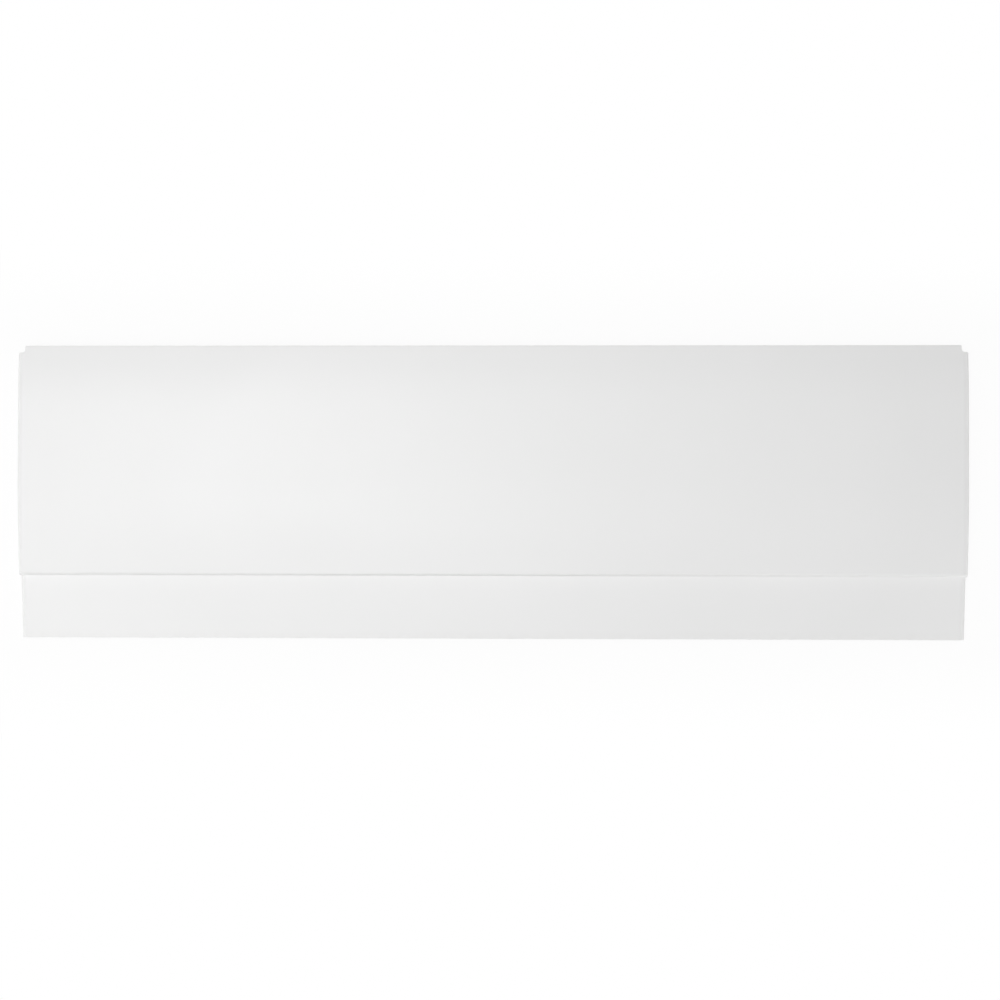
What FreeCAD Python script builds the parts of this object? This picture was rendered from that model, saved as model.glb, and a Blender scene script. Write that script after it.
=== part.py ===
"""Front panel for a bath: one thermoformed plastic sheet, 1700 mm long, lying on its two end returns.

The front face looks up (+Z), the lip that goes behind the bath's rim is at +Y and the plinth at -Y.
The origin is under the middle of the panel, in the plane where its back is trimmed. Lengths are in
millimetres.
"""

import FreeCAD
import Part
import math
import os
import Sketcher

# Driving sizes: alias, value, meaning. Lengths are in millimetres and angles in degrees.
SIZES = [
    ("panel_length", 1700.0, "overall length"),
    ("panel_height", 525.0, "overall height from the foot to the top of the lip"),
    ("panel_depth", 50.0, "from the trimmed back of the end returns to the main face"),
    ("sheet_gauge", 3.0, "thickness of the sheet"),
    ("plinth_height", 116.0, "from the foot to the edge of the step"),
    ("step_recess", 11.3, "how far the plinth is set back below the edge of the step"),
    ("plinth_inset", 1.0, "how far each end of the plinth is set in from the end of the face"),
    ("top_band", 110.0, "height of the band that rolls and leans back to the top edge"),
    ("toe_band", 126.0, "height of the band that rolls and leans back to the step"),
    ("top_lean", 5.0, "lean of the top band"),
    ("toe_lean", 6.0, "lean of the toe band and of the plinth"),
    ("step_draft", 10.0, "draft of the step's wall"),
    ("top_roll_radius", 900.0, "radius between the main face and the top band"),
    ("toe_roll_radius", 400.0, "radius between the main face and the toe band"),
    ("end_radius", 12.0, "outer radius between the front and each end return"),
    ("step_edge_radius", 4.0, "outer radius of the step's edge"),
    ("step_root_radius", 3.0, "outer radius in the step's root"),
    ("notch_width", 14.0, "how far each end of the lip stops short of the panel's end"),
    ("notch_height", 12.0, "height of the lip above the shoulder"),
    ("notch_root_radius", 5.0, "radius in the notch between the lip and the shoulder"),
    ("shoulder_radius", 3.5, "radius of the shoulder's outer corner"),
    ("lip_corner_radius", 2.0, "radius of the lip's corners"),
]

# Places that follow from the driving sizes: alias, formula, meaning.
PLACES = [
    ("edge_y", "=plinth_height - panel_height / 2", "where the step's edge is along Y"),
    ("edge_z", "=panel_depth - toe_band * tan(toe_lean) + toe_roll_radius * (1 / cos(toe_lean) - 1)",
     "where the step's edge is along Z"),
    ("plinth_z", "=edge_z - step_recess", "where the plinth meets the plane Y = edge_y"),
]

# Lines and arcs of the face's section, in order round its outline.
WALL, TOE, TOE_ROLL, MAIN, TOP_ROLL, TOP, TRIM, BACK = range(8)

# Lines of the plinth's section, in order round its outline.
FOOT, PLINTH, INSIDE, BASE = range(4)

# Lines and arcs of the notch's cut, in order down the lip's end, out past the shoulder and back over it.
LIP_END, ROOT_ROUND, SHOULDER, SHOULDER_ROUND, LEDGE, OUTSIDE, OVER = range(7)

# The solver's numbers for the two ends of a line or arc, for the sketch's level axis and for its origin.
START, END = 1, 2
LEVEL = -1
ORIGIN = (-1, 1)

# Two places closer than this are the same, and a normal with this share along an axis faces that way.
NEAR = 1e-3
FACING = 0.5

QUARTER_TURN = math.pi / 2
UP = FreeCAD.Vector(0, 0, 1)


def add_sizes(doc):
    """Puts every size and place in a spreadsheet cell that has its name as the alias."""
    sheet = doc.addObject("Spreadsheet::Sheet", "Sizes")
    for row, (alias, content, meaning) in enumerate(SIZES + PLACES, start=1):
        sheet.set(f"A{row}", alias)
        sheet.set(f"B{row}", str(content))
        sheet.set(f"C{row}", meaning)
        sheet.setAlias(f"B{row}", alias)
    doc.recompute()
    return sheet


def origin_plane(body, role):
    """The body's own origin plane that has this role, such as XY_Plane."""
    return next(feature for feature in body.Origin.OriginFeatures if feature.Role == role)


def add_sketch(body, name, plane_role):
    """An empty sketch on one of the body's origin planes."""
    sketch = body.newObject("Sketcher::SketchObject", name)
    sketch.AttachmentSupport = (origin_plane(body, plane_role), [""])
    sketch.MapMode = "FlatFace"
    return sketch


def add_loop(sketch, points, arcs):
    """Draws a closed outline of lines through these points, with arcs where a centre and angles are given."""
    corners = [FreeCAD.Vector(x, y, 0) for x, y in points]
    for line, here in enumerate(corners):
        if line in arcs:
            centre, radius, first, last = arcs[line]
            circle = Part.Circle(FreeCAD.Vector(*centre, 0), UP, radius)
            sketch.addGeometry(Part.ArcOfCircle(circle, first, last), False)
        else:
            there = corners[(line + 1) % len(corners)]
            sketch.addGeometry(Part.LineSegment(here, there), False)


def tie(sketch, kind, *where):
    """A constraint of the sketch that has no size of its own."""
    sketch.addConstraint(Sketcher.Constraint(kind, *where))


def chain(sketch, lines):
    """Joins the end of each line to the start of the next one."""
    for line, following in zip(lines, lines[1:]):
        tie(sketch, "Coincident", line, END, following, START)


def dimension(sketch, name, expression, kind, *where):
    """A named dimension of the sketch that follows an expression of the spreadsheet's cells."""
    index = sketch.addConstraint(Sketcher.Constraint(kind, *where))
    sketch.renameConstraint(index, name)
    sketch.setExpression(f"Constraints.{name}", expression)


def slope(sketch, points, name, line, expression):
    """A dimension for the angle of a line above the sketch's level axis."""
    (here_x, here_y), (there_x, there_y) = points[line], points[line + 1]
    angle = math.atan2(there_y - here_y, there_x - here_x)
    dimension(sketch, name, expression, "Angle", line, angle)


def add_feature(body, kind, name, expressions, **properties):
    """A feature of the body with these properties, and with others that follow the spreadsheet."""
    feature = body.newObject(f"PartDesign::{kind}", name)
    for key, value in properties.items():
        setattr(feature, key, value)
    for key, expression in expressions.items():
        feature.setExpression(key, expression)
    body.Document.recompute()
    return feature


def extrude(body, name, section, length):
    """A block of this section along the panel, with its middle at the origin."""
    return add_feature(body, "Pad", name, {"Length": length}, Profile=section, Midplane=True)


def round_edges(body, name, base, radius_alias, wanted):
    """Rounds the edges of the base for which wanted(edge) is true."""
    names = [f"Edge{i}" for i, edge in enumerate(base.Shape.Edges, start=1) if wanted(edge)]
    return add_feature(body, "Fillet", name, {"Radius": f"Sizes.{radius_alias}"}, Base=(base, names))


def rolled_from(y, depth, radius, turn):
    """The point reached by rolling off the main face at this Y through an angle, towards +Y if positive."""
    return (y + radius * math.sin(turn), depth - radius * (1 - math.cos(turn)))


def face_points(sheet):
    """Points of the face's section, as (Y, Z), where its lines and arcs start."""
    lean, tip = math.radians(sheet.toe_lean), math.radians(sheet.top_lean)
    high, depth = sheet.panel_height / 2, sheet.panel_depth
    main_start, main_end = sheet.edge_y + sheet.toe_band, high - sheet.top_band
    top_start = rolled_from(main_end, depth, sheet.top_roll_radius, tip)
    return [
        (sheet.edge_y - sheet.edge_z * math.tan(math.radians(sheet.step_draft)), 0.0),
        (sheet.edge_y, sheet.edge_z),
        rolled_from(main_start, depth, sheet.toe_roll_radius, -lean),
        (main_start, depth),
        (main_end, depth),
        top_start,
        (high, top_start[1] - (high - top_start[0]) * math.tan(tip)),
        (high, 0.0),
    ]


def draw_face(body, sheet):
    """The section above the step, filled down to the plane where the back is trimmed."""
    sketch = add_sketch(body, "face_section", "YZ_Plane")
    points = face_points(sheet)
    lean, tip = math.radians(sheet.toe_lean), math.radians(sheet.top_lean)
    toe_radius, top_radius = sheet.toe_roll_radius, sheet.top_roll_radius
    toe_centre = (points[MAIN][0], sheet.panel_depth - toe_radius)
    top_centre = (points[TOP_ROLL][0], sheet.panel_depth - top_radius)
    add_loop(sketch, points, {
        TOE_ROLL: (toe_centre, toe_radius, QUARTER_TURN, QUARTER_TURN + lean),
        TOP_ROLL: (top_centre, top_radius, QUARTER_TURN - tip, QUARTER_TURN),
    })
    chain(sketch, [TOP, TRIM, BACK, WALL, TOE])
    tie(sketch, "Tangent", TOE, END, TOE_ROLL, END)
    tie(sketch, "Tangent", TOE_ROLL, START, MAIN, START)
    tie(sketch, "Tangent", MAIN, END, TOP_ROLL, END)
    tie(sketch, "Tangent", TOP_ROLL, START, TOP, START)
    tie(sketch, "Horizontal", MAIN)
    tie(sketch, "Vertical", TRIM)
    tie(sketch, "PointOnObject", BACK, START, LEVEL)
    tie(sketch, "PointOnObject", BACK, END, LEVEL)
    top = "Sizes.panel_height / 2"
    lengths = [
        ("top_edge", top, "DistanceX", *ORIGIN, TRIM, END, sheet.panel_height / 2),
        ("step_edge", "-Sizes.edge_y", "DistanceX", TOE, START, *ORIGIN, -sheet.edge_y),
        ("toe_band", "Sizes.toe_band", "DistanceX", TOE, START, MAIN, START, sheet.toe_band),
        ("top_band", "Sizes.top_band", "DistanceX", MAIN, END, TOP, END, sheet.top_band),
        ("panel_depth", "Sizes.panel_depth", "DistanceY", *ORIGIN, MAIN, START, sheet.panel_depth),
        ("toe_radius", "Sizes.toe_roll_radius", "Radius", TOE_ROLL, toe_radius),
        ("top_radius", "Sizes.top_roll_radius", "Radius", TOP_ROLL, top_radius),
    ]
    for name, expression, kind, *where in lengths:
        dimension(sketch, name, expression, kind, *where)
    slope(sketch, points, "toe_lean", TOE, "Sizes.toe_lean * 1 deg")
    slope(sketch, points, "top_lean", TOP, "-Sizes.top_lean * 1 deg")
    slope(sketch, points, "step_draft", WALL, "90 deg - Sizes.step_draft * 1 deg")
    body.Document.recompute()
    return sketch


def draw_plinth(body, sheet):
    """The section below the step, which runs a little way into the face's section."""
    sketch = add_sketch(body, "plinth_section", "YZ_Plane")
    low = -sheet.panel_height / 2
    fall = sheet.plinth_height * math.tan(math.radians(sheet.toe_lean))
    points = [(low, 0.0), (low, sheet.plinth_z - fall), (sheet.edge_y, sheet.plinth_z), (sheet.edge_y, 0.0)]
    add_loop(sketch, points, {})
    chain(sketch, [FOOT, PLINTH, INSIDE, BASE, FOOT])
    tie(sketch, "Vertical", FOOT)
    tie(sketch, "Vertical", INSIDE)
    tie(sketch, "PointOnObject", BASE, START, LEVEL)
    tie(sketch, "PointOnObject", BASE, END, LEVEL)
    lengths = [
        ("foot", "Sizes.panel_height / 2", "DistanceX", BASE, END, *ORIGIN, -low),
        ("plinth_height", "Sizes.plinth_height", "DistanceX", BASE, END, BASE, START, sheet.plinth_height),
        ("plinth_z", "Sizes.plinth_z", "DistanceY", *ORIGIN, PLINTH, END, sheet.plinth_z),
    ]
    for name, expression, kind, *where in lengths:
        dimension(sketch, name, expression, kind, *where)
    slope(sketch, points, "toe_lean", PLINTH, "Sizes.toe_lean * 1 deg")
    body.Document.recompute()
    return sketch


def bounds_front_at_end(block):
    """A test for edges between the front of a block and one of its ends."""
    half_length = block.Shape.BoundBox.XMax

    def wanted(edge):
        at_end = abs(abs(edge.CenterOfMass.x) - half_length) < NEAR
        return at_end and edge.BoundBox.ZMin > NEAR

    return wanted


def bounds_wall(block):
    """A test for the edges round the step's wall, apart from the one at the back."""
    bounds = []
    for face in block.Shape.Faces:
        u_low, u_high, v_low, v_high = face.ParameterRange
        if face.normalAt((u_low + u_high) / 2, (v_low + v_high) / 2).y < -FACING:
            bounds += face.Edges

    def wanted(edge):
        return edge.BoundBox.ZMax > NEAR and any(edge.isSame(bound) for bound in bounds)

    return wanted


def runs_in_root(sheet):
    """A test for the edge along the panel in which the plinth meets the step's wall."""
    lean, draft = math.tan(math.radians(sheet.toe_lean)), math.tan(math.radians(sheet.step_draft))
    back = sheet.step_recess * draft / (1 - lean * draft)
    root = (sheet.edge_y - back, sheet.plinth_z - back * lean)

    def wanted(edge):
        return all(math.dist((vertex.Y, vertex.Z), root) < NEAR for vertex in edge.Vertexes)

    return wanted


def form_face(doc, sheet):
    """The solid form above the step, with its ends and the edge of the step rounded."""
    body = doc.addObject("PartDesign::Body", "bath_panel")
    block = extrude(body, "face_block", draw_face(body, sheet), "Sizes.panel_length")
    ended = round_edges(body, "face_ends", block, "end_radius", bounds_front_at_end(block))
    body.Tip = round_edges(body, "step_edge", ended, "step_edge_radius", bounds_wall(ended))
    doc.recompute()
    return body


def form_plinth(doc, sheet):
    """The solid form below the step, a little shorter than the face and with its ends rounded."""
    body = doc.addObject("PartDesign::Body", "plinth_form")
    length = "Sizes.panel_length - 2 * Sizes.plinth_inset"
    block = extrude(body, "plinth_block", draw_plinth(body, sheet), length)
    body.Tip = round_edges(body, "plinth_ends", block, "end_radius", bounds_front_at_end(block))
    doc.recompute()
    return body


def hollow_out(body, base, sheet):
    """Leaves only the sheet, open at the back and along the trimmed foot and top edge."""
    high = sheet.panel_height / 2

    def is_open(face):
        box = face.BoundBox
        return box.ZMax < NEAR or box.YMin > high - NEAR or box.YMax < NEAR - high

    names = [f"Face{i}" for i, face in enumerate(base.Shape.Faces, start=1) if is_open(face)]
    return add_feature(
        body, "Thickness", "sheet", {"Value": "Sizes.sheet_gauge"},
        Base=(base, names), Mode="Skin", Join="Arc", Reversed=True,
    )


def draw_notch(body, sheet):
    """The cut beside the +X end of the lip, seen from the front."""
    sketch = add_sketch(body, "notch_outline", "XY_Plane")
    root, shoulder = sheet.notch_root_radius, sheet.shoulder_radius
    end_x, half_height = sheet.panel_length / 2, sheet.panel_height / 2
    lip_x, top_y = end_x - sheet.notch_width, half_height - sheet.notch_height
    outside_x, over_y = end_x + sheet.notch_height, half_height + sheet.notch_height
    points = [
        (lip_x, over_y),
        (lip_x, top_y + root),
        (lip_x + root, top_y),
        (end_x - shoulder, top_y),
        (end_x, top_y - shoulder),
        (outside_x, top_y - shoulder),
        (outside_x, over_y),
    ]
    add_loop(sketch, points, {
        ROOT_ROUND: ((lip_x + root, top_y + root), root, 2 * QUARTER_TURN, 3 * QUARTER_TURN),
        SHOULDER_ROUND: ((end_x - shoulder, top_y - shoulder), shoulder, 0.0, QUARTER_TURN),
    })
    chain(sketch, [LEDGE, OUTSIDE, OVER, LIP_END])
    tie(sketch, "Tangent", LIP_END, END, ROOT_ROUND, START)
    tie(sketch, "Tangent", ROOT_ROUND, END, SHOULDER, START)
    tie(sketch, "Tangent", SHOULDER, END, SHOULDER_ROUND, END)
    tie(sketch, "Coincident", SHOULDER_ROUND, START, LEDGE, START)
    for line in (SHOULDER, LEDGE, OVER):
        tie(sketch, "Horizontal", line)
    for line in (LIP_END, OUTSIDE):
        tie(sketch, "Vertical", line)
    end, top = "Sizes.panel_length / 2", "Sizes.panel_height / 2"
    lengths = [
        ("lip_end", f"{end} - Sizes.notch_width", "DistanceX", *ORIGIN, LIP_END, END, lip_x),
        ("panel_end", end, "DistanceX", *ORIGIN, LEDGE, START, end_x),
        ("outside", f"{end} + Sizes.notch_height", "DistanceX", *ORIGIN, OVER, START, outside_x),
        ("shoulder", f"{top} - Sizes.notch_height", "DistanceY", *ORIGIN, SHOULDER, START, top_y),
        ("over", f"{top} + Sizes.notch_height", "DistanceY", *ORIGIN, OVER, START, over_y),
        ("ledge", "Sizes.shoulder_radius", "DistanceY", LEDGE, START, SHOULDER, END, shoulder),
        ("shoulder_radius", "Sizes.shoulder_radius", "Radius", SHOULDER_ROUND, shoulder),
        ("root_radius", "Sizes.notch_root_radius", "Radius", ROOT_ROUND, root),
    ]
    for name, expression, kind, *where in lengths:
        dimension(sketch, name, expression, kind, *where)
    body.Document.recompute()
    return sketch


def cut_notches(body, sheet):
    """Frees both ends of the lip from the end returns, and rounds the lip's corners."""
    outline = draw_notch(body, sheet)
    notch = add_feature(body, "Pocket", "notch", {}, Profile=outline, Type="ThroughAll", Midplane=True)
    notches = add_feature(
        body, "Mirrored", "both_notches", {},
        Originals=[notch], MirrorPlane=(origin_plane(body, "YZ_Plane"), [""]),
    )
    body.Tip = notches
    body.Document.recompute()
    lip_corner = (sheet.panel_length / 2 - sheet.notch_width, sheet.panel_height / 2)

    def is_lip_corner(edge):
        centre = edge.CenterOfMass
        return math.dist((abs(centre.x), centre.y), lip_corner) < NEAR

    return round_edges(body, "lip_corners", notches, "lip_corner_radius", is_lip_corner)


def build_panel(doc, sheet):
    """The panel: the forms of the face and the plinth joined, hollowed to a sheet and notched."""
    body = form_face(doc, sheet)
    joined = add_feature(body, "Boolean", "joined_forms", {}, Group=[form_plinth(doc, sheet)], Type="Fuse")
    hollow = hollow_out(body, joined, sheet)
    round_edges(body, "step_root", hollow, "step_root_radius", runs_in_root(sheet))
    body.Tip = cut_notches(body, sheet)
    doc.recompute()
    return body


def write_part(doc, body):
    """Checks the whole document and the body's shape, then writes the shape under the body's label."""
    failed = [thing.Name for thing in doc.Objects if {"Invalid", "Error"} & set(thing.State)]
    if failed:
        raise RuntimeError(f"these objects failed: {failed}")
    shape = body.Shape
    if shape.isNull() or not shape.isValid() or len(shape.Solids) != 1:
        raise RuntimeError(f"{body.Label} is not one valid solid")
    os.makedirs("parts", exist_ok=True)
    shape.exportStep(f"parts/{body.Label}.step")
    print(f"{body.Label}: {shape.Volume:.0f} mm3, {len(shape.Faces)} faces, {shape.BoundBox}")


def main():
    doc = FreeCAD.newDocument("bath_panel")
    write_part(doc, build_panel(doc, add_sizes(doc)))


main()
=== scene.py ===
"""Looks of the bath panel: its formed sheet with fine rounded edges, its plastic, a studio and the camera.

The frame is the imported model's, in metres: the face up (+Z), the lip at +Y and the plinth at -Y. The
sheet's own sizes are those of the part's source, in millimetres. The studio's are in metres.
"""

import math
from collections import namedtuple

import bpy
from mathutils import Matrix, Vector, noise


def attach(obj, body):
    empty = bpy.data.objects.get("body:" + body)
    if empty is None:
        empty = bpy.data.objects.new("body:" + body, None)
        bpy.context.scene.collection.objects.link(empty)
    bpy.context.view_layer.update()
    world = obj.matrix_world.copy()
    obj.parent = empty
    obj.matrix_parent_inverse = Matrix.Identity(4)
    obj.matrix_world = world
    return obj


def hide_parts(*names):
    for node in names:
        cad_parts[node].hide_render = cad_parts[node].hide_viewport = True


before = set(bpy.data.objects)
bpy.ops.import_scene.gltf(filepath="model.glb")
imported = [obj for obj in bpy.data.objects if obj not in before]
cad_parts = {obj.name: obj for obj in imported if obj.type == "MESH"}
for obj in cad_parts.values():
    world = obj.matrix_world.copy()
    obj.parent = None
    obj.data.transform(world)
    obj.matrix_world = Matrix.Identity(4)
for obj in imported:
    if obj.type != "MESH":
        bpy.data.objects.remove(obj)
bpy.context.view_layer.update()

MM = 0.001
QUARTER_TURN = math.pi / 2

# Sizes of the panel in millimetres, as in the part's source.
LENGTH, HEIGHT, DEPTH, GAUGE = 1700.0, 525.0, 50.0, 3.0
PLINTH_HEIGHT, STEP_RECESS, PLINTH_INSET = 116.0, 11.3, 1.0
TOP_BAND, TOE_BAND = 110.0, 126.0
TOP_ROLL_RADIUS, TOE_ROLL_RADIUS = 900.0, 400.0
END_RADIUS, STEP_EDGE_RADIUS, STEP_ROOT_RADIUS = 12.0, 4.0, 3.0
NOTCH_WIDTH, NOTCH_HEIGHT, NOTCH_ROOT_RADIUS = 14.0, 12.0, 5.0
SHOULDER_RADIUS, LIP_CORNER_RADIUS = 3.5, 2.0
TOP_LEAN, TOE_LEAN, STEP_DRAFT = (math.radians(angle) for angle in (5.0, 6.0, 10.0))

# The sheet turns into its toe more softly than the source's arc, over this length. The corner that it
# rounds off stays as high above the step as in the source, and the turn starts a trim away on each side.
TOE_TURN_LENGTH = 130.0
TOE_TURN_RADIUS = TOE_TURN_LENGTH / TOE_LEAN
TOE_TRIM = TOE_TURN_RADIUS * math.tan(TOE_LEAN / 2)
TOE_CORNER = TOE_BAND - TOE_ROLL_RADIUS * math.tan(TOE_LEAN / 2)

# What follows from them: the step's edge and how far the section turns there, the ends of the face's
# flat, where the panel's ends start to turn, and where the lip ends.
STEP_Y = PLINTH_HEIGHT - HEIGHT / 2
STEP_Z = DEPTH - TOE_CORNER * math.tan(TOE_LEAN)
STEP_TURN = QUARTER_TURN - STEP_DRAFT - TOE_LEAN
MAIN_START, MAIN_END = STEP_Y + TOE_CORNER + TOE_TRIM, HEIGHT / 2 - TOP_BAND
TURN_X = LENGTH / 2 - END_RADIUS
LIP_X = LENGTH / 2 - NOTCH_WIDTH

# How finely the sheet is divided: greatest lengths on straight runs and on arcs, the greatest angle on an
# arc, and the least steps of a straight run.
PLAIN_STEP, ARC_LENGTH_STEP = 18.0, 9.0
ARC_STEP = math.radians(7.5)
LEAST_STEPS = 2

# Steps round the lip's corner, down the lip's side, round the notch's root and down an end return.
LIP_CORNER_STEPS, LIP_SIDE_STEPS, NOTCH_ROOT_STEPS, RETURN_STEPS = 4, 2, 5, 4

# Under the lip the mesh spreads out towards the notches, in a band of this size.
FAN_HEIGHT, FAN_WIDTH, FAN_ROWS = 26.0, 22.0, 6

# Rows this near to the step follow its drafted wall down the end returns.
SLIP_REACH = 45.0

# The sheet isn't dead flat: the depth of its waves, their lengths along X and Y, where they die out, and
# the slice of the noise that shapes them.
WAVE_DEPTH, WAVE_LENGTHS, WAVE_FADE, WAVE_SLICE = 0.25, (330.0, 210.0), 40.0, 0.5

# Rounding of the trimmed edges, which are the ones sharper than this angle.
EASED_EDGE, EASED_STEPS, SHARP = 0.35, 2, math.radians(50.0)

# Places of the sheet's materials in its list.
FRONT, BACK, EDGE = range(3)

# Colours of the plastic, each pair with a pattern between them, and its refraction.
FRONT_WHITES = (0.852, 0.853, 0.850), (0.868, 0.868, 0.866)
BACK_WHITES = (0.79, 0.786, 0.77), (0.835, 0.832, 0.82)
SAWN_WHITES = (0.78, 0.775, 0.76), (0.87, 0.87, 0.865)
ACRYLIC_IOR = 1.49

# Rubbing: its colour, its share in the front's colour, what it adds to the roughness, and the power with
# which it fades below the trimmed top.
RUBBED_COLOUR = (0.79, 0.785, 0.77)
RUBBED_TINT, RUBBED_ROUGHNESS, RUBBED_FADE = 0.3, 0.14, 6

# A noise lies mostly between these two values.
NOISE_LOW, NOISE_HIGH = 0.3, 0.7

# The photograph's camera looks down on the panel from almost straight above: its place, its turns about
# X, Y and Z, its focal length and the photograph's width in pixels, and its sensor in millimetres.
CAMERA_PLACE = (0.0896, -0.0436, 3.05)
CAMERA_TURN = [math.radians(angle) for angle in (0.578, 1.372, 0.096)]
FOCAL_PIXELS, IMAGE_PIXELS, SENSOR_WIDTH = 1686.6, 1000, 36.0

# Soft lamps: name, place, the point that it faces, width, height and watts.
LAMPS = [
    ("key", (-1.3, -0.2, 3.2), (-0.3, 0.0, 0.0), 3.0, 3.0, 33.4),
    ("key_core", (-1.1, 0.05, 2.6), (-0.4, 0.0, 0.0), 0.9, 0.9, 4.3),
    ("overhead", (0.0, 0.3, 4.5), (0.0, 0.0, 0.0), 3.0, 3.0, 51.1),
    ("top", (0.3, 2.2, 2.5), (0.0, 0.0, 0.0), 1.5, 1.5, 3.4),
    ("step_left", (-1.0, -1.6, 0.45), (-0.5, -0.15, 0.1), 1.4, 0.8, 5.2),
    ("step_right", (1.1, -1.2, 0.2), (0.6, -0.15, 0.05), 1.4, 0.35, 1.5),
    ("step_end", (1.0, -1.0, 0.1), (0.75, -0.15, 0.03), 0.6, 0.18, 1.4),
    ("end_left", (-2.4, 0.0, 0.5), (-0.85, 0.0, 0.02), 1.2, 0.9, 6.4),
    ("end_right", (2.2, 0.1, 0.45), (0.85, 0.05, 0.02), 1.2, 0.8, 5.3),
]

# Lamps lower than this only fill in: mirrored in the gloss, they would glare from the sides.
FILL_HEIGHT = 1.0

# Strength of the even light from all round, and of the white that the camera sees behind the panel.
AMBIENT, BACKDROP = 0.29, 1.0

# How much of the floor looks plain white under the panel and beside it, where the rest shows light and
# shadow. Both grow outwards from the panel's middle, between these multiples of the way to its outline.
FLOOR_WHITE_UNDER, FLOOR_WHITE_BESIDE = 0.5, 0.92
UNDER_GROWS, BESIDE_GROWS = (0.8, 1.0), (1.0, 1.7)
FLOOR_HALF_WIDTH = 8.0

# Colours of the floor's paper and of plain white.
PAPER, WHITE = (0.92, 0.92, 0.92, 1.0), (1.0, 1.0, 1.0, 1.0)

# A row runs along the panel at a point of the outer section, whose tangent has this heading. It is set in
# at the ends, slips along them with the step's wall, and is rubbed by handling.
Row = namedtuple("Row", "y z heading inset slip rubbed trimmed")

# A column crosses the panel: at x on its face, turned round the end, and a share of the way down the
# return. A column on the face leads through the fan to a point of the trimmed outline.
Column = namedtuple("Column", "side x turn drop top", defaults=(0.0, 0.0, None))


def shares(count):
    """The fractions 1/count, 2/count and so on up to 1."""
    return [(i + 1) / count for i in range(count)]


def between(a, b, share):
    """The value at this share of the way from a to b."""
    return a + (b - a) * share


def smooth(share):
    """Eases a share between 0 and 1, and holds it there outside."""
    share = min(max(share, 0.0), 1.0)
    return share * share * (3.0 - 2.0 * share)


def section_runs():
    """Runs of the outer section from the foot to the fan, as (part, length or signed radius, turn)."""
    lean, draft = math.tan(TOE_LEAN), math.tan(STEP_DRAFT)
    back = STEP_RECESS * draft / (1 - lean * draft)
    foot_to_root = (PLINTH_HEIGHT - back) / math.cos(TOE_LEAN)
    root_to_edge = back / math.sin(STEP_DRAFT)
    edge_to_turn = TOE_CORNER / math.cos(TOE_LEAN) - TOE_TRIM
    roll_to_fan = (TOP_BAND - TOP_ROLL_RADIUS * math.sin(TOP_LEAN) - FAN_HEIGHT) / math.cos(TOP_LEAN)
    root_trim = STEP_ROOT_RADIUS * math.tan(STEP_TURN / 2)
    edge_trim = STEP_EDGE_RADIUS * math.tan(STEP_TURN / 2)
    return [
        ("plinth", foot_to_root - root_trim, None),
        ("root", STEP_ROOT_RADIUS, STEP_TURN),
        ("wall", root_to_edge - root_trim - edge_trim, None),
        ("edge", -STEP_EDGE_RADIUS, -STEP_TURN),
        ("face", edge_to_turn - edge_trim, None),
        ("face", -TOE_TURN_RADIUS, -TOE_LEAN),
        ("face", MAIN_END - MAIN_START, None),
        ("face", -TOP_ROLL_RADIUS, -TOP_LEAN),
        ("face", roll_to_fan, None),
    ]


def section_points():
    """Points along the outer section from the foot to the fan, as (y, z, heading, part)."""
    y, z, heading = -HEIGHT / 2, STEP_Z - STEP_RECESS - PLINTH_HEIGHT * math.tan(TOE_LEAN), TOE_LEAN
    points = [(y, z, heading, "plinth")]
    for part, size, turn in section_runs():
        if turn is None:
            for share in shares(max(LEAST_STEPS, math.ceil(size / PLAIN_STEP))):
                along = size * share
                points.append((y + along * math.cos(heading), z + along * math.sin(heading), heading, part))
        else:
            by_length = math.ceil(size * turn / ARC_LENGTH_STEP)
            for share in shares(max(by_length, math.ceil(abs(turn) / ARC_STEP))):
                now = heading + turn * share
                across = size * (math.sin(now) - math.sin(heading))
                up = size * (math.cos(heading) - math.cos(now))
                points.append((y + across, z + up, now, part))
        y, z, heading, _ = points[-1]
    return points


def section_rows():
    """The rows of the sheet below the fan."""
    points = section_points()
    parts = [part for _, _, _, part in points]
    first, last = parts.index("root") - 1, parts.index("face") - 1
    rows = []
    for i, (y, z, heading, part) in enumerate(points):
        up_the_step = smooth((i - first) / (last - first))
        gap = max(points[first][0] - y, y - points[last][0], 0.0)
        rubbed = math.sin(math.pi * (heading - TOE_LEAN) / STEP_TURN) if part == "edge" else 0.0
        rows.append(Row(
            y, z, heading,
            inset=PLINTH_INSET * (1 - up_the_step),
            slip=1 - smooth(gap / SLIP_REACH),
            rubbed=1.0 if i == 0 else rubbed,
            trimmed=i == 0,
        ))
    return rows


def cut_height(x):
    """How high the panel reaches at this x beside the lip: in the notch and round the shoulder."""
    in_root = min(max(NOTCH_ROOT_RADIUS - (x - LIP_X), 0.0), NOTCH_ROOT_RADIUS)
    in_corner = min(max(x - (LENGTH / 2 - SHOULDER_RADIUS), 0.0), SHOULDER_RADIUS)
    rise = NOTCH_ROOT_RADIUS - math.sqrt(NOTCH_ROOT_RADIUS ** 2 - in_root ** 2)
    fall = SHOULDER_RADIUS - math.sqrt(SHOULDER_RADIUS ** 2 - in_corner ** 2)
    return HEIGHT / 2 - NOTCH_HEIGHT + rise - fall


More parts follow.
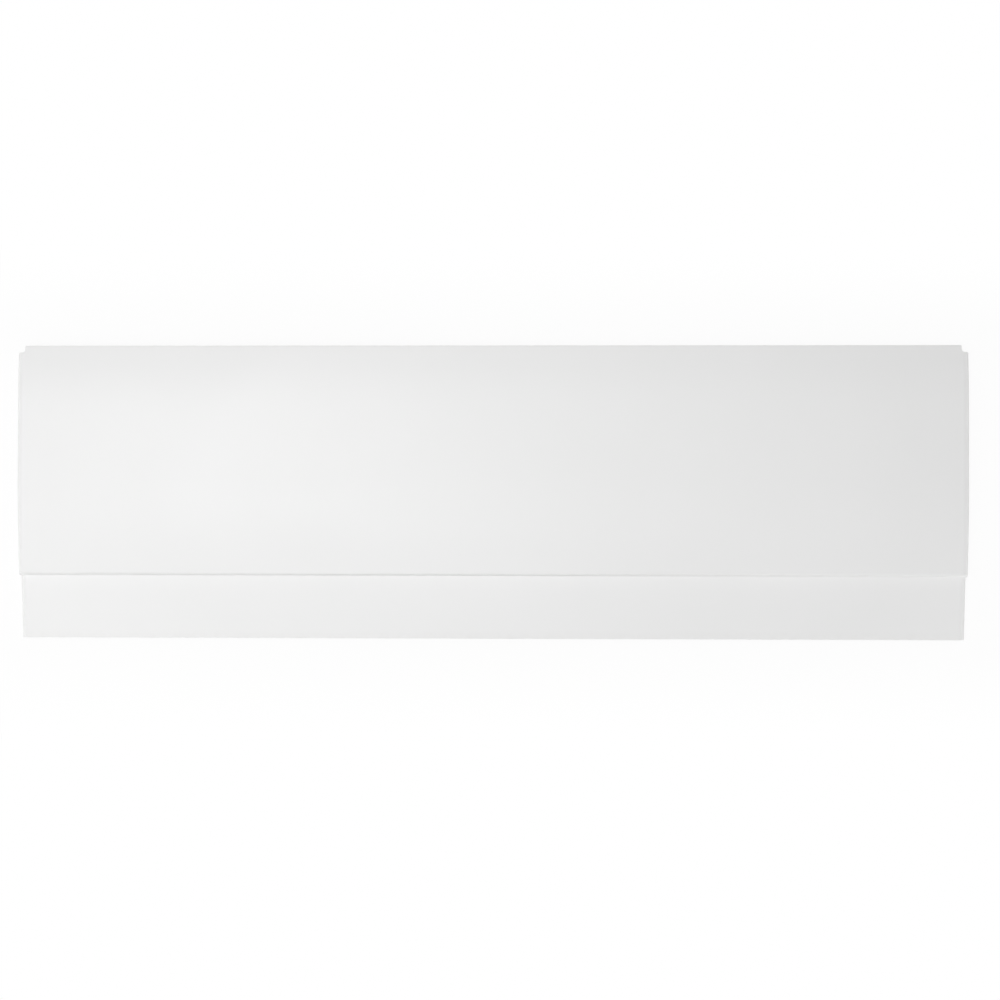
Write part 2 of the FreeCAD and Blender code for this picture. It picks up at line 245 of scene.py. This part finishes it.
def notch_outline():
    """Points of the trimmed outline from the lip's top to where the end starts to turn, as (x, y)."""
    top, corner, root = HEIGHT / 2, LIP_CORNER_RADIUS, NOTCH_ROOT_RADIUS
    points = [(LIP_X - corner, top)]
    for share in shares(LIP_CORNER_STEPS):
        angle = QUARTER_TURN * share
        points.append((LIP_X - corner * (1 - math.sin(angle)), top - corner * (1 - math.cos(angle))))
    root_y = top - NOTCH_HEIGHT + root
    points += [(LIP_X, between(top - corner, root_y, share)) for share in shares(LIP_SIDE_STEPS)]
    turn = math.acos(1 - (TURN_X - LIP_X) / root)
    for share in shares(NOTCH_ROOT_STEPS):
        x = LIP_X + root * (1 - math.cos(turn * share))
        points.append((x, cut_height(x)))
    return points


def half_columns(side):
    """Columns from beside the middle of the panel to the trimmed back of one end return."""
    fan_x = TURN_X - FAN_WIDTH
    columns = []
    for share in shares(math.ceil(fan_x / PLAIN_STEP)):
        columns.append(Column(side, fan_x * share, top=(fan_x * share, HEIGHT / 2)))
    outline = notch_outline()
    for share, point in zip(shares(len(outline)), outline):
        columns.append(Column(side, between(fan_x, TURN_X, share), top=point))
    for share in shares(math.ceil(QUARTER_TURN / ARC_STEP)):
        columns.append(Column(side, TURN_X, turn=QUARTER_TURN * share))
    for share in shares(RETURN_STEPS):
        columns.append(Column(side, TURN_X, turn=QUARTER_TURN, drop=share))
    return columns


def all_columns():
    """Columns from the back of the left end return, over the face, to the back of the right one."""
    middle = Column(1.0, 0.0, top=(0.0, HEIGHT / 2))
    return half_columns(-1.0)[::-1] + [middle] + half_columns(1.0)


def fan_place(below, column, share, under):
    """The row and x at this share of a column's way from the row below the fan to the trimmed outline."""
    x = column.x
    if column.top:
        x, top_y = between(column.x, column.top[0], share), column.top[1]
    else:
        top_y = cut_height(TURN_X + (END_RADIUS - under) * math.sin(column.turn))
    y = between(below.y, top_y, share)
    z = below.z - (y - below.y) * math.tan(TOP_LEAN)
    return below._replace(y=y, z=z, rubbed=share ** RUBBED_FADE, trimmed=share == 1.0), x


def wave(x, y):
    """How far the sheet's waves sink it at this place on the face."""
    swell = noise.noise(Vector((x / WAVE_LENGTHS[0], y / WAVE_LENGTHS[1], WAVE_SLICE)))
    from_edge = min(TURN_X - abs(x), HEIGHT / 2 - abs(y), abs(y - STEP_Y))
    return WAVE_DEPTH * (0.5 + 0.5 * swell) * smooth(from_edge / WAVE_FADE)


def sheet_point(row, column, x, under):
    """Where a row crosses a column, this far under the outer skin, in metres."""
    radius = END_RADIUS - under
    turned_down = radius * (1 - math.cos(column.turn))
    sunk = turned_down + wave(column.side * x, row.y)
    lean = min(row.heading, TOE_LEAN)
    slip = row.slip * math.tan(STEP_DRAFT + TOE_LEAN) * turned_down
    if row.trimmed:
        y, z = row.y, row.z - (under + sunk) / math.cos(lean)
    else:
        y = row.y + under * math.sin(row.heading) + sunk * math.sin(lean) - slip * math.cos(lean)
        z = row.z - under * math.cos(row.heading) - sunk * math.cos(lean) - slip * math.sin(lean)
    y -= row.slip * math.tan(STEP_DRAFT) * z * column.drop
    z *= 1 - column.drop
    x += radius * math.sin(column.turn) - row.inset * x / TURN_X
    return (column.side * x * MM, y * MM, z * MM)


def handling(row, column):
    """How much handling rubs this place, from 0 to 1: most on edges and corners."""
    if column.drop == 1.0:
        return 1.0
    return max(row.rubbed, math.sin(2 * column.turn) if column.drop == 0.0 else 0.0)


def skin(under):
    """All points of one skin of the sheet and how rubbed they are, row by row from the foot to the top."""
    rows, columns = section_rows(), all_columns()
    crossings = [[(row, column, column.x) for column in columns] for row in rows]
    for share in shares(FAN_ROWS):
        placed = [(fan_place(rows[-1], column, share, under), column) for column in columns]
        crossings.append([(row, column, x) for (row, x), column in placed])
    points = [[sheet_point(row, column, x, under) for row, column, x in line] for line in crossings]
    rubbed = [handling(row, column) for line in crossings for row, column, _ in line]
    return points, rubbed


def sheet_faces(row_count, column_count):
    """Faces of the closed sheet, each with its material's place."""
    behind = row_count * column_count

    def at(row, column):
        return row * column_count + column

    faces = []
    for row in range(row_count - 1):
        for column in range(column_count - 1):
            quad = (at(row, column), at(row, column + 1), at(row + 1, column + 1), at(row + 1, column))
            faces.append((quad, FRONT))
            faces.append((tuple(behind + corner for corner in reversed(quad)), BACK))
    rim = [at(0, column) for column in range(column_count)]
    rim += [at(row, column_count - 1) for row in range(1, row_count)]
    rim += [at(row_count - 1, column) for column in range(column_count - 2, -1, -1)]
    rim += [at(row, 0) for row in range(row_count - 2, 0, -1)]
    for here, there in zip(rim, rim[1:] + rim[:1]):
        faces.append(((there, here, behind + here, behind + there), EDGE))
    return faces


def add_sheet(materials):
    """The panel as one closed sheet with eased trimmed edges."""
    (front, front_rubbed), (back, back_rubbed) = skin(0.0), skin(GAUGE)
    faces = sheet_faces(len(front), len(front[0]))
    mesh = bpy.data.meshes.new("bath_panel_sheet")
    mesh.from_pydata([point for row in front + back for point in row], [], [face for face, _ in faces])
    for place in sorted(materials):
        mesh.materials.append(materials[place])
    mesh.polygons.foreach_set("material_index", [place for _, place in faces])
    mesh.polygons.foreach_set("use_smooth", [True] * len(faces))
    mesh.attributes.new("rubbed", "FLOAT", "POINT").data.foreach_set("value", front_rubbed + back_rubbed)
    sheet = bpy.data.objects.new("bath_panel_sheet", mesh)
    bpy.context.scene.collection.objects.link(sheet)
    ease = sheet.modifiers.new("eased_edges", "BEVEL")
    ease.width, ease.segments = EASED_EDGE * MM, EASED_STEPS
    ease.limit_method, ease.angle_limit = "ANGLE", SHARP
    sheet.modifiers.new("even_shading", "WEIGHTED_NORMAL")
    return sheet


def add_node(tree, kind, inputs, **settings):
    """A shader node with these settings, its inputs set to values or linked from other nodes' outputs."""
    node = tree.nodes.new(f"ShaderNode{kind}")
    for name, value in settings.items():
        setattr(node, name, value)
    for name, value in inputs.items():
        if isinstance(value, bpy.types.NodeSocket):
            tree.links.new(value, node.inputs[name])
        else:
            node.inputs[name].default_value = value
    return node


def pattern(tree, scale, detail, stretch=(1.0, 1.0, 1.0)):
    """A noise in the part's own coordinates, with features about 1/scale metres wide."""
    place = add_node(tree, "TexCoord", {}).outputs["Object"]
    stretched = add_node(tree, "Mapping", {"Vector": place, "Scale": stretch}).outputs["Vector"]
    return add_node(tree, "TexNoise", {"Vector": stretched, "Scale": scale, "Detail": detail}).outputs["Fac"]


def spread(tree, value, low=0.0, high=1.0):
    """Spreads the usual range of a noise from low to high."""
    limits = {"From Min": NOISE_LOW, "From Max": NOISE_HIGH, "To Min": low, "To Max": high}
    return add_node(tree, "MapRange", {"Value": value, **limits}).outputs["Result"]


def calculate(tree, operation, *values):
    """The result of a sum, product or the like of numbers and sockets."""
    return add_node(tree, "Math", dict(enumerate(values)), operation=operation).outputs["Value"]


def tint(tree, share, first, second):
    """A colour between two others, or between a colour's socket and another."""
    colours = {"Fac": share}
    for name, colour in (("Color1", first), ("Color2", second)):
        colours[name] = colour if isinstance(colour, bpy.types.NodeSocket) else (*colour, 1.0)
    return add_node(tree, "MixRGB", colours).outputs["Color"]


def plastic(name, colour, roughness, relief, relief_strength, relief_depth):
    """White acrylic; colour, roughness and relief are functions that give sockets of its nodes."""
    material = bpy.data.materials.new(name)
    material.use_nodes = True
    tree = material.node_tree
    surface = tree.nodes["Principled BSDF"]
    surface.inputs["IOR"].default_value = ACRYLIC_IOR
    tree.links.new(colour(tree), surface.inputs["Base Color"])
    tree.links.new(roughness(tree), surface.inputs["Roughness"])
    size = {"Strength": relief_strength, "Distance": relief_depth * MM}
    bump = add_node(tree, "Bump", {**size, "Height": relief(tree)})
    tree.links.new(bump.outputs["Normal"], surface.inputs["Normal"])
    return material


def rubbing(tree):
    """Patchy rubbing along the edges that hands and other panels touch."""
    marked = add_node(tree, "Attribute", {}, attribute_name="rubbed").outputs["Fac"]
    return calculate(tree, "MULTIPLY", marked, spread(tree, pattern(tree, scale=70.0, detail=5.0)))


def front_skin():
    """The moulded front: faint clouds in the white, wiping marks in the gloss and a fine orange peel."""

    def colour(tree):
        clouds = spread(tree, pattern(tree, scale=2.6, detail=3.0))
        white = tint(tree, clouds, *FRONT_WHITES)
        return tint(tree, calculate(tree, "MULTIPLY", rubbing(tree), RUBBED_TINT), white, RUBBED_COLOUR)

    def roughness(tree):
        smudges = spread(tree, pattern(tree, scale=6.0, detail=6.0), low=0.285, high=0.325)
        wiping = spread(tree, pattern(tree, scale=3.0, detail=1.0, stretch=(1.0, 7.0, 1.0)), high=0.02)
        gloss = calculate(tree, "ADD", smudges, wiping)
        return calculate(tree, "MULTIPLY_ADD", rubbing(tree), RUBBED_ROUGHNESS, gloss)

    def orange_peel(tree):
        return pattern(tree, scale=320.0, detail=1.0)

    return plastic("front_skin", colour, roughness, orange_peel, relief_strength=0.12, relief_depth=0.05)


def back_skin():
    """The back, which never touched the mould: duller, a little yellower and with a pebbled surface."""

    def colour(tree):
        return tint(tree, spread(tree, pattern(tree, scale=5.0, detail=4.0)), *BACK_WHITES)

    def roughness(tree):
        return spread(tree, pattern(tree, scale=14.0, detail=5.0), low=0.46, high=0.6)

    def pebbles(tree):
        return pattern(tree, scale=700.0, detail=3.0)

    return plastic("back_skin", colour, roughness, pebbles, relief_strength=0.35, relief_depth=0.12)


def trimmed_edge():
    """The sawn edges: paler where the blade has scraped them, with marks across the thickness."""

    def colour(tree):
        scraped = spread(tree, pattern(tree, scale=1.0, detail=3.0, stretch=(420.0, 420.0, 30.0)))
        return tint(tree, scraped, *SAWN_WHITES)

    def roughness(tree):
        return spread(tree, pattern(tree, scale=90.0, detail=3.0), low=0.5, high=0.7)

    def saw_marks(tree):
        return pattern(tree, scale=1.0, detail=3.0, stretch=(900.0, 900.0, 40.0))

    return plastic("trimmed_edge", colour, roughness, saw_marks, relief_strength=0.4, relief_depth=0.08)


def add_camera():
    """The photograph's camera, with its long lens."""
    camera = bpy.data.cameras.new("photo_camera")
    camera.sensor_width = SENSOR_WIDTH
    camera.lens = FOCAL_PIXELS * SENSOR_WIDTH / IMAGE_PIXELS
    holder = bpy.data.objects.new("photo_camera", camera)
    holder.rotation_mode = "ZXY"
    holder.rotation_euler = CAMERA_TURN
    holder.location = CAMERA_PLACE
    bpy.context.scene.collection.objects.link(holder)
    bpy.context.scene.camera = holder


def add_lamp(name, place, aim, width, height, watts):
    """A soft lamp that faces a point, hidden from the camera."""
    lamp = bpy.data.lights.new(name, "AREA")
    lamp.shape = "RECTANGLE"
    lamp.size, lamp.size_y = width, height
    lamp.energy = watts
    holder = bpy.data.objects.new(name, lamp)
    holder.location = place
    holder.rotation_mode = "QUATERNION"
    holder.rotation_quaternion = (Vector(aim) - Vector(place)).to_track_quat("-Z", "Y")
    holder.visible_camera = False
    holder.visible_glossy = place[2] > FILL_HEIGHT
    bpy.context.scene.collection.objects.link(holder)


def seen_directly(tree):
    """1 for rays from the camera and for mirrored or refracted ones, 0 for those that carry light."""
    path = add_node(tree, "LightPath", {}).outputs
    bent = calculate(tree, "MAXIMUM", path["Is Glossy Ray"], path["Is Transmission Ray"])
    return calculate(tree, "MAXIMUM", path["Is Camera Ray"], bent)


def grow(tree, limits, low, high):
    """Grows from low to high between two multiples of the way from the panel's middle to its outline."""
    place = add_node(tree, "TexCoord", {}).outputs["Object"]
    half_sizes = (LENGTH / 2 * MM, HEIGHT / 2 * MM, 1.0)
    way = add_node(tree, "VectorMath", {0: place, 1: half_sizes}, operation="DIVIDE").outputs["Vector"]
    sides = add_node(tree, "VectorMath", {0: way}, operation="ABSOLUTE").outputs["Vector"]
    along, across, _ = add_node(tree, "SeparateXYZ", {"Vector": sides}).outputs
    reach = calculate(tree, "MAXIMUM", along, across)
    span = {"Value": reach, "From Min": limits[0], "From Max": limits[1], "To Min": low, "To Max": high}
    return add_node(tree, "MapRange", span, interpolation_type="SMOOTHSTEP").outputs["Result"]


def white_paper():
    """The floor's paper, which looks plain white away from the panel and shows its shadow under it."""
    material = bpy.data.materials.new("white_paper")
    material.use_nodes = True
    tree = material.node_tree
    tree.nodes.clear()
    paper = add_node(tree, "BsdfDiffuse", {"Color": PAPER}).outputs["BSDF"]
    white = add_node(tree, "Emission", {"Color": WHITE, "Strength": BACKDROP}).outputs["Emission"]
    under = grow(tree, UNDER_GROWS, FLOOR_WHITE_UNDER, FLOOR_WHITE_BESIDE)
    beside = grow(tree, BESIDE_GROWS, 0.0, 1.0 - FLOOR_WHITE_BESIDE)
    white_share = calculate(tree, "ADD", under, beside)
    share = calculate(tree, "MULTIPLY", seen_directly(tree), white_share)
    shown = add_node(tree, "MixShader", {0: share, 1: paper, 2: white}).outputs["Shader"]
    add_node(tree, "OutputMaterial", {"Surface": shown})
    return material


def add_floor():
    """A level floor of white paper under the panel."""
    half = FLOOR_HALF_WIDTH
    corners = [(-half, -half, 0.0), (half, -half, 0.0), (half, half, 0.0), (-half, half, 0.0)]
    mesh = bpy.data.meshes.new("floor")
    mesh.from_pydata(corners, [], [range(4)])
    mesh.materials.append(white_paper())
    floor = bpy.data.objects.new("floor", mesh)
    bpy.context.scene.collection.objects.link(floor)


def add_world():
    """Even light from all round, which looks white to the camera."""
    world = bpy.data.worlds.new("studio")
    bpy.context.scene.world = world
    world.use_nodes = True
    tree = world.node_tree
    tree.nodes.clear()
    light = add_node(tree, "Background", {"Color": WHITE, "Strength": AMBIENT}).outputs["Background"]
    backdrop = add_node(tree, "Background", {"Color": WHITE, "Strength": BACKDROP}).outputs["Background"]
    shown = add_node(tree, "MixShader", {0: seen_directly(tree), 1: light, 2: backdrop}).outputs["Shader"]
    add_node(tree, "OutputWorld", {"Surface": shown})


sheet = add_sheet({FRONT: front_skin(), BACK: back_skin(), EDGE: trimmed_edge()})
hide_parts("bath_panel")
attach(sheet, "root")

add_camera()
add_floor()
add_world()
for lamp in LAMPS:
    add_lamp(*lamp)
bpy.context.scene.view_settings.view_transform = "Standard"
